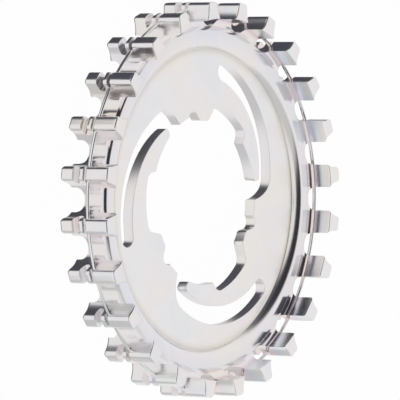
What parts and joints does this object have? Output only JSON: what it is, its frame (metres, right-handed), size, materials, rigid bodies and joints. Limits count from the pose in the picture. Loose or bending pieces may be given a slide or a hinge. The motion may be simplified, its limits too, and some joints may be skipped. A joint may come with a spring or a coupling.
{
  "type": "belt drive sprocket",
  "caption": "Rear sprocket for a bicycle toothed belt drive, with a guide wire round the teeth, a rounded bead, and a thin web with a lobed hub opening and curved arms.",
  "frame": {"origin": "on the sprocket's axis, in the plane of the back ends of the teeth, which it rests on", "axes": "+Z along the sprocket's axis, out of the front face that carries the bead; +X through the middle of a space between two teeth"},
  "size_m": [0.0824, 0.0824, 0.012],
  "materials": {
    "plated_steel": "bright plated, with a fine turned texture on the web",
    "bright_wire": "bright drawn wire"
  },
  "bodies": {
    "root": {"sprocket_body": "plated_steel", "guide_wire": "bright_wire"}
  },
  "joints": []
}
